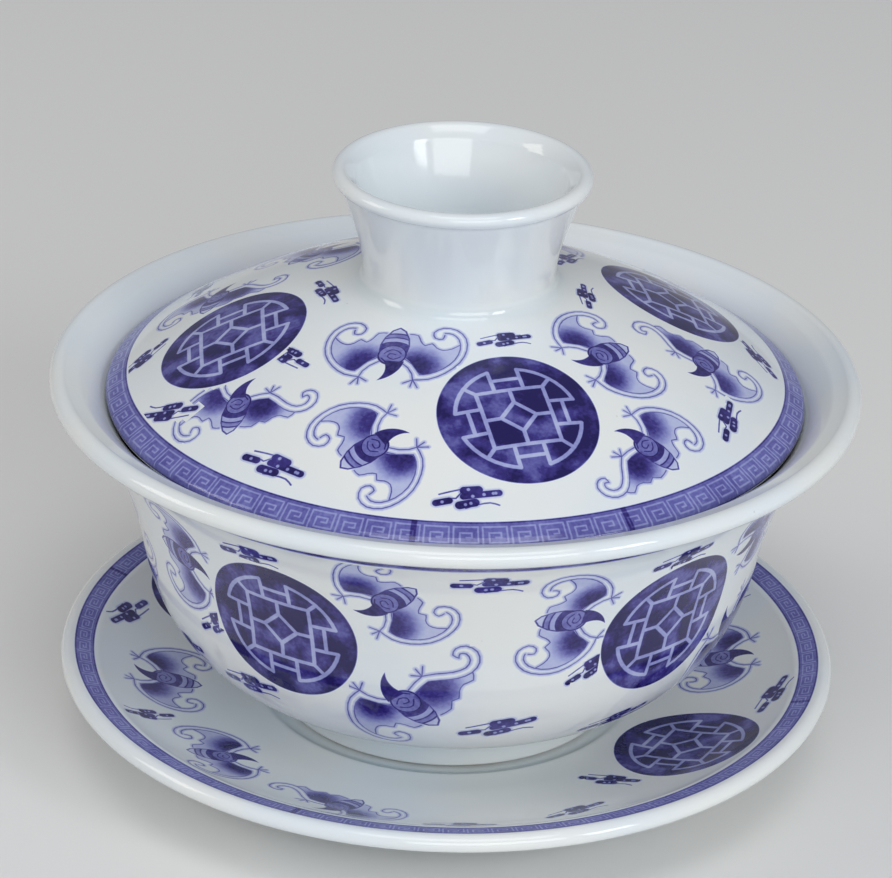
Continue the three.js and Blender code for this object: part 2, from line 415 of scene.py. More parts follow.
cobalt, cobalt_in, cobalt_out = new_group(
    "Cobalt under glaze",
    {"Ground": ("Color", (0.8, 0.83, 0.86, 1)), "Ink": ("Float", 0.0), "Mottle": ("Float", 0.2)},
    {"Colour": "Color"},
)
place = node(cobalt, "TexCoord").outputs["Object"]
cloudy = node(cobalt, "TexNoise", inputs={"Vector": place, "Scale": 260.0, "Detail": 2.0, "Roughness": 0.4})
spread = ramp(cobalt, cloudy.outputs["Fac"], 0.32, 0.66, -1.0, 0.35)
uneven = calc(cobalt, "MULTIPLY_ADD", spread, cobalt_in.outputs["Mottle"], 1.0)
grainy = node(cobalt, "TexNoise", inputs={"Vector": place, "Scale": 1900.0, "Detail": 1.0})
speckle = ramp(cobalt, grainy.outputs["Fac"], 0.25, 0.75, 0.9, 1.08)
ink = calc(cobalt, "MULTIPLY", calc(cobalt, "MULTIPLY", cobalt_in.outputs["Ink"], uneven), speckle)
shades = node(cobalt, "ValToRGB", inputs={0: ink})
stops = shades.color_ramp.elements
stops[0].position, stops[0].color = 0.0, (0.66, 0.71, 0.85, 1)
stops[1].position, stops[1].color = 1.0, (0.009, 0.004, 0.085, 1)
for position, colour in ((0.25, (0.34, 0.37, 0.66, 1)), (0.5, (0.135, 0.135, 0.42, 1)),
                         (0.75, (0.04, 0.029, 0.215, 1))):
    stops.new(position).color = colour
printed = blend_colour(cobalt, ramp(cobalt, ink, 0.0, 0.14), cobalt_in.outputs["Ground"], shades.outputs[0])
cobalt.links.new(printed, cobalt_out.inputs["Colour"])


def transfer(name, ink_of, mottle):
    """A glazed material with a transfer under the glaze; ink_of(tree) gives how thick it lies."""
    def colour_of(tree, ground):
        ink = ink_of(tree)
        made = node(tree, "Group", node_tree=cobalt, inputs={"Ground": ground, "Ink": ink, "Mottle": mottle})
        return made.outputs["Colour"]
    return glazed(name, colour_of)


def sheet_place(tree, mirrored=False):
    """Where a point lies on its own transfer, in millimetres from the middle, folded if mirrored."""
    place = node(tree, "UVMap", uv_map="transfer").outputs[0]
    if not mirrored:
        return place
    parts = node(tree, "SeparateXYZ", inputs={0: place})
    return node(tree, "CombineXYZ", inputs={
        "X": calc(tree, "ABSOLUTE", parts.outputs["X"]), "Y": parts.outputs["Y"]}).outputs[0]


def from_line(tree, place, lines, radius=0.0, nearest=None):
    """Distance from each point to the nearest of some lines, each a list of points in order."""
    for line in lines:
        for (ax, ay), (bx, by) in zip(line, line[1:]):
            run = Vector((bx - ax, by - ay, 0))
            away = node(tree, "VectorMath", operation="SUBTRACT", inputs={0: place, 1: (ax, ay, 0)})
            share = node(tree, "VectorMath", operation="DOT_PRODUCT",
                         inputs={0: away.outputs[0], 1: run / run.length_squared})
            along = calc(tree, "MAXIMUM", calc(tree, "MINIMUM", share.outputs["Value"], 1.0), 0.0)
            foot = node(tree, "VectorMath", operation="SCALE", inputs={0: run, "Scale": along})
            gap = node(tree, "VectorMath", operation="DISTANCE",
                       inputs={0: away.outputs[0], 1: foot.outputs[0]}).outputs["Value"]
            if radius:
                gap = calc(tree, "SUBTRACT", gap, radius)
            nearest = gap if nearest is None else calc(tree, "MINIMUM", nearest, gap)
    return nearest


def from_dot(tree, place, x, y):
    """Distance from each point to one spot."""
    return node(tree, "VectorMath", operation="DISTANCE", inputs={0: place, 1: (x, y, 0)}).outputs["Value"]


def smooth(points, parts=2):
    """A flowing line through given points, as a list of closer points."""
    ends = [points[0], *points, points[-1]]
    line = []
    for p, q, r, s in zip(ends, ends[1:], ends[2:], ends[3:]):
        for i in range(parts):
            t = i / parts
            line.append(tuple(
                b + 0.5 * t * (c - a + t * (2 * a - 5 * b + 4 * c - d + t * (3 * b - a - 3 * c + d)))
                for a, b, c, d in zip(p, q, r, s)))
    return line + [points[-1]]


def arc_line(radius, first, last, parts):
    """Points along an arc about the middle of a transfer, between two angles in degrees."""
    angles = [math.radians(first + (last - first) * i / parts) for i in range(parts + 1)]
    return [(radius * math.cos(a), radius * math.sin(a)) for a in angles]


BLEED = 0.09  # how far the colour runs into the glaze at the edge of a printed line, in millimetres


def drawn(tree, distance, width):
    """1 on a drawn line of that width and 0 beside it, in millimetres."""
    return ramp(tree, distance, width / 2 - BLEED, width / 2 + BLEED, 1.0, 0.0)


def strongest(tree, *inks):
    """The thickest of several layers of ink."""
    most = inks[0]
    for ink in inks[1:]:
        most = calc(tree, "MAXIMUM", most, ink)
    return most


def thicker(tree, mask, amount):
    """A mask as a layer of ink of that thickness."""
    return calc(tree, "MULTIPLY", mask, amount)


# How a transfer is laid: where its middle comes on the piece, which way is up, and which faces it
# covers. The face list keeps each piece's geometry as arrays, because it is asked many times.

SHEET_REACH = 14  # the farthest that any transfer goes from its middle, in millimetres
faces_of = {}


def surface_arrays(piece):
    """The corners, middles and normals of a piece's faces, and its transfer map, made on first use."""
    if piece.name not in faces_of:
        mesh = piece.data
        points = np.empty(len(mesh.vertices) * 3)
        mesh.vertices.foreach_get("co", points)
        corners = np.empty(len(mesh.loops), int)
        mesh.loops.foreach_get("vertex_index", corners)
        middles = np.empty(len(mesh.polygons) * 3)
        mesh.polygons.foreach_get("center", middles)
        normals = np.empty(len(mesh.polygons) * 3)
        mesh.polygons.foreach_get("normal", normals)
        mesh.uv_layers.new(name="transfer")
        faces_of[piece.name] = (
            points.reshape(-1, 3), corners, middles.reshape(-1, 3), normals.reshape(-1, 3))
    return faces_of[piece.name]


def along_face(face, distance):
    """The point a distance along an outline, and the way the outline runs there."""
    for a, b in zip(face, face[1:]):
        step = (b - a).length
        if distance <= step:
            return a.lerp(b, distance / step), (b - a).normalized()
        distance -= step
    return face[-1], (face[-1] - face[-2]).normalized()


def inside(outline, x, y):
    """Which of many points lie inside a closed outline."""
    within = np.zeros(len(x), bool)
    for (ax, ay), (bx, by) in zip(outline, outline[1:] + outline[:1]):
        if ay != by:
            crosses = ((y > ay) != (y > by)) & (x < ax + (bx - ax) * (y - ay) / (by - ay))
            within ^= crosses
    return within


def lay(piece, face, material, outline, places):
    """Lays a transfer, cut along its outline, at each place: degrees round the piece from the front,
    millimetres up its decorated face, degrees turned clockwise, and size (negative if mirrored)."""
    mesh = piece.data
    points, corners, middles, normals = surface_arrays(piece)
    if material.name not in mesh.materials:
        mesh.materials.append(material)
    index = mesh.materials.find(material.name)
    chart = mesh.uv_layers["transfer"].data
    for degrees, distance, turn, size in places:
        at, way = along_face(face, distance * MM)
        a, t = math.radians(degrees), math.radians(turn)
        out, east = Vector((math.sin(a), -math.cos(a), 0)), Vector((math.cos(a), math.sin(a), 0))
        middle = np.array(out * at.x + Vector((0, 0, at.y)))
        north = out * way.x + Vector((0, 0, way.y))
        up = np.array(east * math.sin(t) + north * math.cos(t)) / MM / abs(size)
        side = np.array(east * math.cos(t) - north * math.sin(t)) / MM / size
        outward = np.array(east.cross(north))

        def flat(spots):
            """Millimetres right and up on the sheet, at the true distance over the curved face."""
            away = spots - middle
            x, y = away @ side, away @ up
            true = np.linalg.norm(away, axis=1) / MM / abs(size)
            stretch = true / np.maximum(np.hypot(x, y), 1e-6)
            return x * stretch, y * stretch

        close = np.linalg.norm(middles - middle, axis=1) < SHEET_REACH * MM
        near = np.flatnonzero(close & (normals @ outward > 0.3))
        x, y = flat(middles[near])
        for f in near[inside(outline, x, y)]:
            polygon = mesh.polygons[int(f)]
            polygon.material_index = index
            loops = list(polygon.loop_indices)
            for loop, right, up_by in zip(loops, *flat(points[corners[loops]])):
                chart[loop].uv = (right, up_by)


# ---- Transfer: key-fret border -----------------------------------------------------------------
# A strip of square spirals in a lighter line on violet blue, with a darker edge line. It goes
# round the lid's edge and the saucer's border in several lengths, which overlap where they meet.

FRET_LINE = 0.22
FRET_GROUND = 0.56
FRET_EDGE = 0.24
FRET_CELL = 3.45
FRET_HEIGHT = 2.9
FRET_PATH = [(0.25, 0.0), (0.25, 2.6), (3.15, 2.6), (3.15, 0.5), (1.0, 0.5), (1.0, 1.8), (2.4, 1.8),
             (2.4, 1.2), (1.75, 1.2)]


def fret_ink(width, repeats, seams):
    """Ink of a fret of that width in millimetres, with that many repeats and overlaps at seams."""
    def ink_of(tree):
        parts = node(tree, "SeparateXYZ", inputs={0: node(tree, "UVMap", uv_map="transfer").outputs[0]})
        across = calc(tree, "SUBTRACT", parts.outputs["Y"], width / 2)
        rim = calc(tree, "SUBTRACT", width / 2, calc(tree, "ABSOLUTE", across))
        within = ramp(tree, rim, -BLEED, BLEED)
        edge_line = drawn(tree, calc(tree, "SUBTRACT", rim, FRET_EDGE / 2), FRET_EDGE)
        cell = calc(tree, "MULTIPLY", calc(tree, "FRACT", parts.outputs["X"]), FRET_CELL)
        squash = FRET_HEIGHT / (width - 3 * FRET_EDGE)
        height = calc(tree, "MULTIPLY_ADD", parts.outputs["Y"], squash, -1.5 * FRET_EDGE * squash)
        place = node(tree, "CombineXYZ", inputs={"X": cell, "Y": height}).outputs[0]
        spiral = drawn(tree, from_line(tree, place, [FRET_PATH]), FRET_LINE)
        spiral = calc(tree, "MULTIPLY", spiral, ramp(tree, rim, FRET_EDGE, FRET_EDGE + 0.12))
        ground = calc(tree, "MULTIPLY_ADD", spiral, -0.22, FRET_GROUND)
        ink = strongest(tree, ground, thicker(tree, edge_line, 0.82))
        for seam in seams:
            gap = calc(tree, "ABSOLUTE", calc(tree, "SUBTRACT", parts.outputs["X"], seam * repeats / 360))
            overlap = drawn(tree, calc(tree, "MULTIPLY", gap, FRET_CELL), 0.7)
            ink = calc(tree, "MULTIPLY_ADD", overlap, 0.3, ink)
        return calc(tree, "MULTIPLY", ink, within)
    return ink_of


EDGE_ROOM = 0.5  # how far past each edge of a border its map goes on, in millimetres


def lay_border(piece, face, start, width, repeats, material):
    """Lays a border round a piece, from a distance along its decorated face, in millimetres. Its
    map counts the repeats round the piece, and the millimetres across the border."""
    mesh = piece.data
    points, corners, middles, normals = surface_arrays(piece)
    first, way = along_face(face, max(start, 0) * MM)
    first = first + way * min(start, 0) * MM
    mesh.materials.append(material)
    chart = mesh.uv_layers["transfer"].data
    radius, height = np.hypot(middles[:, 0], middles[:, 1]), middles[:, 2]
    across = (radius - first.x) * way.x + (height - first.y) * way.y
    depth = (radius - first.x) * way.y - (height - first.y) * way.x
    outward = (normals[:, 0] * middles[:, 0] + normals[:, 1] * middles[:, 1]) / radius
    covered = (across > -EDGE_ROOM * MM) & (across < (width + EDGE_ROOM) * MM) & (np.abs(depth) < 1.2 * MM)
    covered &= outward * way.y - normals[:, 2] * way.x > 0.2
    for f in np.flatnonzero(covered):
        polygon = mesh.polygons[int(f)]
        polygon.material_index = len(mesh.materials) - 1
        turn = math.atan2(middles[f][0], -middles[f][1])
        for loop in polygon.loop_indices:
            x, y, z = points[corners[loop]]
            corner_turn = math.atan2(x, -y)
            corner_turn += math.tau * round((turn - corner_turn) / math.tau)
            over = (math.hypot(x, y) - first.x) * way.x + (z - first.y) * way.y
            chart[loop].uv = (corner_turn / math.tau * repeats, over / MM)


LID_REPEATS, SAUCER_REPEATS = 78, 100
LID_BAND, SAUCER_BAND = 3.7, 2.6
lid_fret = transfer("lid_border", fret_ink(LID_BAND, LID_REPEATS, (-6, 29, 118, -131)), 0.12)
saucer_fret = transfer("saucer_border", fret_ink(SAUCER_BAND, SAUCER_REPEATS, (-22, 74, 160, -110)), 0.12)

# ---- Band under the lip ------------------------------------------------------------------------
# A soft violet-blue band painted just under the bowl's lip, darkest along its middle and fading out
# at both edges.

LIP_LINE = 2.2


def lip_line_ink(tree):
    """Ink of the soft line."""
    parts = node(tree, "SeparateXYZ", inputs={0: node(tree, "UVMap", uv_map="transfer").outputs[0]})
    gap = calc(tree, "ABSOLUTE", calc(tree, "SUBTRACT", parts.outputs["Y"], LIP_LINE / 2))
    return ramp(tree, gap, LIP_LINE * 0.15, LIP_LINE * 0.5, 0.78, 0.0)


lip_line = transfer("lip_line", lip_line_ink, 0.3)

# ---- Transfer: bats ----------------------------------------------------------------------------
# Small flying bats in fine line with a graded wash on the wings, an old good-luck motif. Head up:
# a horn-shaped head, a round chest, a banded tail, and wings whose tips curl in. Drawn in mm.

CURLED_WING = {
    "lines": [
        smooth([(3.4, 4.2), (5.3, 3.8), (7.1, 2.4), (8.5, 0.2), (8.9, -2.2), (8.4, -4.4), (7.0, -5.8),
                (5.3, -5.9), (4.3, -4.8), (4.7, -3.7), (5.6, -3.7), (5.7, -4.5)]),
        smooth([(5.7, -4.9), (6.6, -4.9), (7.6, -4.0), (8.1, -2.2), (7.8, -0.1), (6.7, 1.7), (5.2, 2.9),
                (4.1, 3.2)]),
        smooth([(7.9, -3.0), (7.1, -2.1), (6.1, -1.6), (5.2, -1.9), (4.5, -2.6), (3.7, -2.1), (3.0, -2.9),
                (2.5, -3.9), (1.5, -4.0)]),
        [(1.3, 1.3), (2.4, 2.2), (3.1, 3.2), (3.4, 4.2)],
        [(1.6, 0.6), (2.8, 1.5), (3.7, 2.7), (4.1, 3.2), (4.2, 2.3), (4.6, 2.8), (5.0, 2.3)],
        [(3.4, 4.2), (4.2, 5.4)],
        [(3.4, 4.2), (3.3, 5.4)],
        [(3.4, 4.2), (2.3, 4.9)],
    ],
    "top": [(1.2, 0.2), (2.8, 1.5), (3.7, 2.7), (4.2, 3.1), (5.2, 2.9), (6.7, 1.7), (7.8, -0.1), (8.1, -2.2)],
    "foot": [(1.2, -3.9), (2.5, -3.9), (3.0, -2.9), (3.7, -2.1), (4.5, -2.6), (5.2, -1.9), (6.1, -1.6),
             (7.1, -2.1), (8.1, -3.0)],
    "darkest": (3.4, 1.9),
}
REACHING_WING = {
    "lines": [
        smooth([(4.1, 1.9), (5.5, 1.2), (7.1, 0.1), (8.6, -0.4), (9.7, 0.1), (10.0, 1.1), (9.5, 1.6),
                (9.0, 1.2)]),
        smooth([(4.2, 0.9), (5.3, 0.2), (6.9, -0.9), (8.6, -1.4), (10.2, -0.9), (11.1, 0.5), (10.8, 2.0),
                (9.7, 2.5), (8.8, 2.0), (9.0, 1.2)]),
        smooth([(8.7, -1.4), (8.0, -2.3), (6.8, -2.0), (5.8, -2.4), (5.0, -3.2), (4.1, -3.0), (3.2, -3.9),
                (1.6, -3.9)]),
        [(1.5, 1.3), (2.8, 1.7), (4.1, 1.9)],
        [(1.7, 0.5), (3.0, 0.8), (4.2, 0.9), (3.9, 0.1), (4.5, 0.4), (4.7, -0.3)],
        [(4.1, 1.9), (5.1, 2.9)],
        [(4.1, 1.9), (4.2, 3.1)],
        [(4.1, 1.9), (3.2, 2.7)],
    ],
    "top": [(1.2, 0.3), (3.0, 0.8), (4.2, 0.9), (5.3, 0.2), (6.9, -0.9), (8.7, -1.4)],
    "foot": [(1.2, -3.9), (2.3, -4.1), (3.2, -3.9), (4.1, -3.0), (5.0, -3.2), (5.8, -2.4), (6.8, -2.0),
             (8.0, -2.3), (8.7, -1.6)],
    "darkest": (3.7, -0.2),
}
TAIL_SIDE = [(1.75, -0.6), (1.8, -1.7), (1.5, -3.1), (0.8, -4.5), (0.0, -5.1)]
CHEST_SWIRLS = [smooth([(-1.1, 0.4), (-0.3, 0.9), (0.5, 0.5), (0.3, -0.1), (-0.4, 0.0)]),
                smooth([(1.0, -0.1), (0.3, -0.8), (-0.5, -0.7), (-1.1, -0.2)]),
                [(1.2, 0.8), (0.7, 1.3), (0.1, 1.4)]]
SHEET_SPAN = 12.0  # how much of the sheet a line's height is drawn over


def line_over(tree, x, points):
    """The height of a smooth line at each x, where it passes through the points."""
    made = node(tree, "FloatCurve", inputs={"Value": calc(tree, "DIVIDE", x, SHEET_SPAN)})
    curve = made.mapping.curves[0]
    spots = [(px / SHEET_SPAN, 0.5 + py / (2 * SHEET_SPAN)) for px, py in points]
    curve.points[0].location = spots[0]
    curve.points[1].location = spots[-1]
    for spot in spots[1:-1]:
        curve.points.new(*spot)
    made.mapping.update()
    return calc(tree, "MULTIPLY_ADD", made.outputs[0], 2 * SHEET_SPAN, -SHEET_SPAN)


def wing_ink(tree, place, wing):
    """Ink of one wing: a wash that fades away from the wrist, and fine lines over it."""
    parts = node(tree, "SeparateXYZ", inputs={0: place})
    x, y = parts.outputs["X"], parts.outputs["Y"]
    below = ramp(tree, calc(tree, "SUBTRACT", line_over(tree, x, wing["top"]), y), -0.05, 0.1)
    above = ramp(tree, calc(tree, "SUBTRACT", y, line_over(tree, x, wing["foot"])), -0.05, 0.1)
    tip = wing["top"][-1][0]
    within = calc(tree, "MULTIPLY", calc(tree, "MULTIPLY", below, above), ramp(tree, x, tip, tip - 0.1))
    within = calc(tree, "MULTIPLY", within, ramp(tree, x, 0.5, 0.6))
    away = from_dot(tree, place, *wing["darkest"])
    wash = calc(tree, "MULTIPLY", within, ramp(tree, away, 0.8, 4.4, 0.9, 0.16))
    fine = from_line(tree, place, wing["lines"])
    lines = thicker(tree, drawn(tree, fine, 0.19), 0.62)
    halo = ramp(tree, fine, 0.15, 0.55, 0.15, 0.0)
    return strongest(tree, wash, lines, halo)


def body_ink(tree, whole, half):
    """Ink of a bat's chest, horn-shaped head and banded tail."""
    parts = node(tree, "SeparateXYZ", inputs={0: half})
    x, y = parts.outputs["X"], parts.outputs["Y"]
    chest = from_dot(tree, half, 0.0, 0.1)
    behind = ramp(tree, chest, 1.75, 1.85)
    # Bands follow the round of the chest inside the tapered outline of the tail.
    spread = line_over(tree, calc(tree, "SUBTRACT", 0.0, y), [
        (0.0, 1.8), (1.7, 1.8), (3.1, 1.5), (4.3, 0.9), (5.1, 0.05), (6.0, -1.0)])
    in_tail = calc(tree, "MULTIPLY", ramp(tree, calc(tree, "SUBTRACT", spread, x), -0.05, 0.08),
                   ramp(tree, y, 0.3, 0.0))
    ring = calc(tree, "DIVIDE", from_dot(tree, half, 0.0, 0.7), 8.0)
    bands = node(tree, "ValToRGB", inputs={0: ring})
    steps = bands.color_ramp.elements
    steps[0].position, steps[0].color = 0.33, (0.85,) * 3 + (1,)
    steps[1].position, steps[1].color = 0.72, (0.1,) * 3 + (1,)
    for position, shade in ((0.385, 0.8), (0.395, 0.25), (0.465, 0.3), (0.475, 0.85), (0.49, 0.85),
                            (0.5, 0.5), (0.56, 0.45), (0.57, 0.9), (0.585, 0.9), (0.6, 0.16)):
        steps.new(position).color = (shade,) * 3 + (1,)
    tail = calc(tree, "MULTIPLY", calc(tree, "MULTIPLY", bands.outputs[0], in_tail), behind)
    tail_line = thicker(tree, drawn(tree, from_line(tree, half, [TAIL_SIDE]), 0.22), 0.75)
    tail_line = calc(tree, "MULTIPLY", tail_line, behind)
    chest_fill = ramp(tree, chest, 1.85, 1.75, 0.0, 0.5)
    chest_edge = calc(tree, "ABSOLUTE", calc(tree, "SUBTRACT", chest, 1.72))
    chest_line = thicker(tree, drawn(tree, chest_edge, 0.26), 0.95)
    swirls = thicker(tree, drawn(tree, from_line(tree, whole, CHEST_SWIRLS), 0.26), 0.85)
    # The head lies inside one round and outside another, as a horn that bends to the right.
    crown = ramp(tree, from_dot(tree, whole, 2.3, 0.9), 4.08, 3.95)
    bite = ramp(tree, from_dot(tree, whole, 3.05, 2.9), 2.65, 2.8)
    spot = node(tree, "SeparateXYZ", inputs={0: whole})
    face = calc(tree, "MULTIPLY", ramp(tree, spot.outputs["Y"], 1.0, 1.3),
                ramp(tree, spot.outputs["X"], 1.6, 1.3))
    head = thicker(tree, calc(tree, "MULTIPLY", calc(tree, "MULTIPLY", crown, bite), face), 0.9)
    return strongest(tree, tail, tail_line, chest_fill, chest_line, swirls, head)


def bat_ink(tree):
    """Ink of a bat with both wings curled in."""
    whole, half = sheet_place(tree), sheet_place(tree, mirrored=True)
    return strongest(tree, wing_ink(tree, half, CURLED_WING), body_ink(tree, whole, half))


def turning_bat_ink(tree):
    """Ink of a bat that turns, with its right wing stretched out."""
    whole, half = sheet_place(tree), sheet_place(tree, mirrored=True)
    turned_over = node(tree, "VectorMath", operation="MULTIPLY", inputs={0: whole, 1: (-1, 1, 1)}).outputs[0]
    left = wing_ink(tree, turned_over, CURLED_WING)
    return strongest(tree, left, wing_ink(tree, whole, REACHING_WING), body_ink(tree, whole, half))


def flipped(outline):
    """The same half outline on the left of the sheet, in the order that closes it."""
    return [(-x, y) for x, y in reversed(outline)]


bat = transfer("bat_transfer", bat_ink, 0.12)
turning_bat = transfer("turning_bat_transfer", turning_bat_ink, 0.12)
BAT_HALF = [(0.3, 5.6), (2.0, 5.7), (3.3, 6.1), (4.8, 6.1), (5.0, 4.7), (7.5, 3.4), (9.4, 0.7),
            (9.7, -2.4), (9.2, -5.1), (7.3, -6.7), (5.0, -6.7), (3.5, -5.4), (3.3, -4.6), (2.0, -4.8),
            (0.3, -5.9)]
REACHING_HALF = [(0.3, 5.6), (2.2, 5.3), (2.5, 3.4), (4.2, 3.9), (5.9, 3.5), (6.2, 1.9), (7.4, 0.9),
                 (8.2, 0.6), (8.2, 2.4), (9.6, 3.2), (11.5, 2.5), (11.8, 0.3), (10.8, -1.6),
                 (8.8, -2.9), (6.7, -2.9), (4.8, -3.9), (3.2, -4.8), (1.8, -4.8), (0.3, -5.9)]
BAT_OUTLINE = BAT_HALF + flipped(BAT_HALF)
TURNING_OUTLINE = REACHING_HALF + flipped(BAT_HALF)

LID_BATS = [(-23, 27.2, 168, 1.0), (-16.5, 12.4, 40, 0.96), (50.5, 24.2, -84, 0.94),
            (157, 27.0, 170, 0.98), (162, 12.4, 40, 0.96), (-129, 23.6, -80, 0.98)]
LID_TURNING_BATS = [(-51, 11.9, -32, 0.94), (40.5, 9.8, -26, -0.92), (76, 14.4, -84, 0.92),
                    (132, 12.4, -30, 0.92), (-139, 9.8, -26, -0.92), (-104, 14.4, -84, 0.92)]
lay(lid, lid_face, bat, BAT_OUTLINE, LID_BATS)
lay(lid, lid_face, turning_bat, TURNING_OUTLINE, LID_TURNING_BATS)

BOWL_PITCH = 72  # degrees between the repeats round the bowl
for k in range(5):
    turn_round = k * BOWL_PITCH
    lay(bowl, bowl_face, bat, BAT_OUTLINE, [
        (turn_round - 10, 38.8, -130, 0.98), (turn_round + 21, 35.2, 97, 0.98)])
    lay(bowl, bowl_face, turning_bat, TURNING_OUTLINE, [(turn_round - 7, 22.3, -42, 1.1)])
for k in range(2):
    turn_round = k * 180
    lay(saucer, saucer_face, bat, BAT_OUTLINE, [
        (turn_round - 48, 12.6, 30, 0.95), (turn_round - 82, 13.0, 190, 0.95)])
    lay(saucer, saucer_face, turning_bat, TURNING_OUTLINE, [(turn_round - 19, 10.6, -160, 0.92)])

# ---- Transfer: clouds --------------------------------------------------------------------------
# Little scrolls of cloud that fill the gaps between the larger motifs: rows of dark beads with
# light eyes, tied together, with thin lines trailing from them. Drawn in millimetres.

CLOUD_BEADS = {0.56: [[(-0.2, 0.85), (1.6, 0.75)], [(-1.1, -1.2), (0.9, -1.05)]],
               0.46: [[(-0.4, 0.0), (4.1, 0.05)], [(-4.0, -0.45), (-2.3, -0.35)]]}
CLOUD_EYES = [(-3.2, -0.4), (0.35, 0.95), (0.75, -0.1), (2.2, 0.0), (3.4, 0.05), (3.7, 0.05),
              (-0.35, -1.2), (0.35, -1.1)]
CLOUD_TRAILS = [smooth([(-3.4, 0.75), (-1.9, 0.95), (-0.4, 1.1)]), [(-2.3, 0.0), (-1.4, -0.15), (-0.5, 0.7)],
                smooth([(-0.4, -1.75), (1.3, -1.4), (2.8, -1.3), (3.9, -1.75)])]


def cloud_ink(tree):
    """Ink of one cloud."""
    place = sheet_place(tree)
    body = None
    for radius, lines in CLOUD_BEADS.items():
        body = from_line(tree, place, lines, radius, body)
    beads = ramp(tree, body, 0.1, -0.06)
    eyes = None
    for x, y in CLOUD_EYES:
        gap = from_dot(tree, place, x, y)
        eyes = gap if eyes is None else calc(tree, "MINIMUM", eyes, gap)
    lit = ramp(tree, eyes, 0.32, 0.14)
    trails = drawn(tree, from_line(tree, place, CLOUD_TRAILS), 0.2)
    filled = calc(tree, "MULTIPLY_ADD", lit, -0.62, 0.95)
    halo = ramp(tree, body, 0.1, 0.5, 0.13, 0.0)
    return strongest(tree, calc(tree, "MULTIPLY", beads, filled), thicker(tree, trails, 0.7), halo)


cloud = transfer("cloud_transfer", cloud_ink, 0.2)
CLOUD_OUTLINE = [(-4.9, -1.3), (-4.9, 0.5), (-3.9, 1.5), (-1.0, 1.9), (2.2, 1.9), (3.2, 1.0), (5.0, 0.9),
                 (5.1, -0.6), (4.7, -2.4), (0.0, -2.4), (-2.2, -2.0), (-3.0, -1.3)]

LID_CLOUDS = [(-34, 6.6, 2, 1.0), (2.5, 6.4, -8, 0.95), (-63, 5.6, 140, 0.95), (-53, 21.0, 180, 0.85),
              (-82, 31.0, -10, 0.85), (20, 31.2, 0, 0.8), (84, 31.6, -10, 0.75), (63, 7.8, -20, 0.9),
              (-87, 5.6, 60, 0.9), (94, 6.6, -30, 0.9), (128, 30.4, 60, 0.85), (146, 6.6, 2, 1.0),
              (-178, 6.4, -8, 0.95), (-160, 31.2, 0, 0.8), (-118, 7.6, -20, 0.9)]
lay(lid, lid_face, cloud, CLOUD_OUTLINE, LID_CLOUDS)
HIP_CLOUDS = [(37, 13.8), (109, 14.6), (181, 13.2), (253, 15.0), (319, 18.2)]  # not laid quite evenly
for k, hip_cloud in enumerate(HIP_CLOUDS):
    turn_round = k * BOWL_PITCH
    lay(bowl, bowl_face, cloud, CLOUD_OUTLINE, [
        (turn_round + 6, 43.6, 0, 1.05), (turn_round + 10, 17.6, -13, 1.1),
        (turn_round + 26, 26.8, -30, 0.85), (turn_round + 39, 42.6, -6, 1.0), (*hip_cloud, -10, 1.1)])
for k in range(2):
    turn_round = k * 180
    lay(saucer, saucer_face, cloud, CLOUD_OUTLINE, [
        (turn_round + 3, 7.2, 4, 1.0), (turn_round + 24, 9.6, -12, 1.0), (turn_round - 101, 6.4, 20, 1.0),
        (turn_round + 39, 16.6, 60, 0.9), (turn_round - 65, 8.2, 85, 0.85)])

# ---- Transfer: roundels ------------------------------------------------------------------------
# Large dark discs with a plain lattice of straps left light in them, the same up, down and to both
# sides. The solid areas fire unevenly, from pale violet to nearly black blue.

ROUNDEL_RADIUS = 10.3
STRAP = 0.58
STRAP_LIGHTER = 0.76  # how much less colour lies on a strap
BRACKET_RADIUS = 8.0  # of the curved straps inside the dark ring
# One quarter of the lattice, right of and above the middle.
STRAPS = [
    [(4.4, 1.9)] + arc_line(BRACKET_RADIUS, 14, 76, 8) + [(1.9, 4.4)],
    [(0.0, 4.4), (4.4, 4.4), (4.4, 0.0)],
    [(4.4, 4.4), (5.6, 5.6)],
    [(0.0, 2.3), (2.3, 0.0)],
    [(0.0, 6.2), (1.9, 6.2)],
    [(6.2, 0.0), (6.2, 1.9)],
    [(2.3, 0.0), (4.4, 0.0)],
    [(0.0, 2.3), (0.0, 4.4)],
]


def roundel_ink(tree):
    """Ink of one roundel."""
    half = sheet_place(tree, mirrored=True)
    parts = node(tree, "SeparateXYZ", inputs={0: half})
    quarter = node(tree, "CombineXYZ", inputs={
        "X": parts.outputs["X"], "Y": calc(tree, "ABSOLUTE", parts.outputs["Y"])}).outputs[0]
    middle = from_dot(tree, half, 0.0, 0.0)
    disc = ramp(tree, middle, ROUNDEL_RADIUS + 0.12, ROUNDEL_RADIUS - 0.08)
    light = drawn(tree, from_line(tree, quarter, STRAPS), STRAP)
    # The colour gathers along the edges of the dark areas.
    gathered = strongest(tree, ramp(tree, middle, ROUNDEL_RADIUS - 0.7, ROUNDEL_RADIUS - 0.15),
                         ramp(tree, light, 0.0, 0.12))
    dark = calc(tree, "MULTIPLY_ADD", gathered, 0.1, 0.96)
    return calc(tree, "MULTIPLY", disc, calc(tree, "MULTIPLY_ADD", light, -STRAP_LIGHTER, dark))


roundel = transfer("roundel_transfer", roundel_ink, 0.4)
ROUNDEL_OUTLINE = arc_line(ROUNDEL_RADIUS + 0.6, 0, 350, 35)

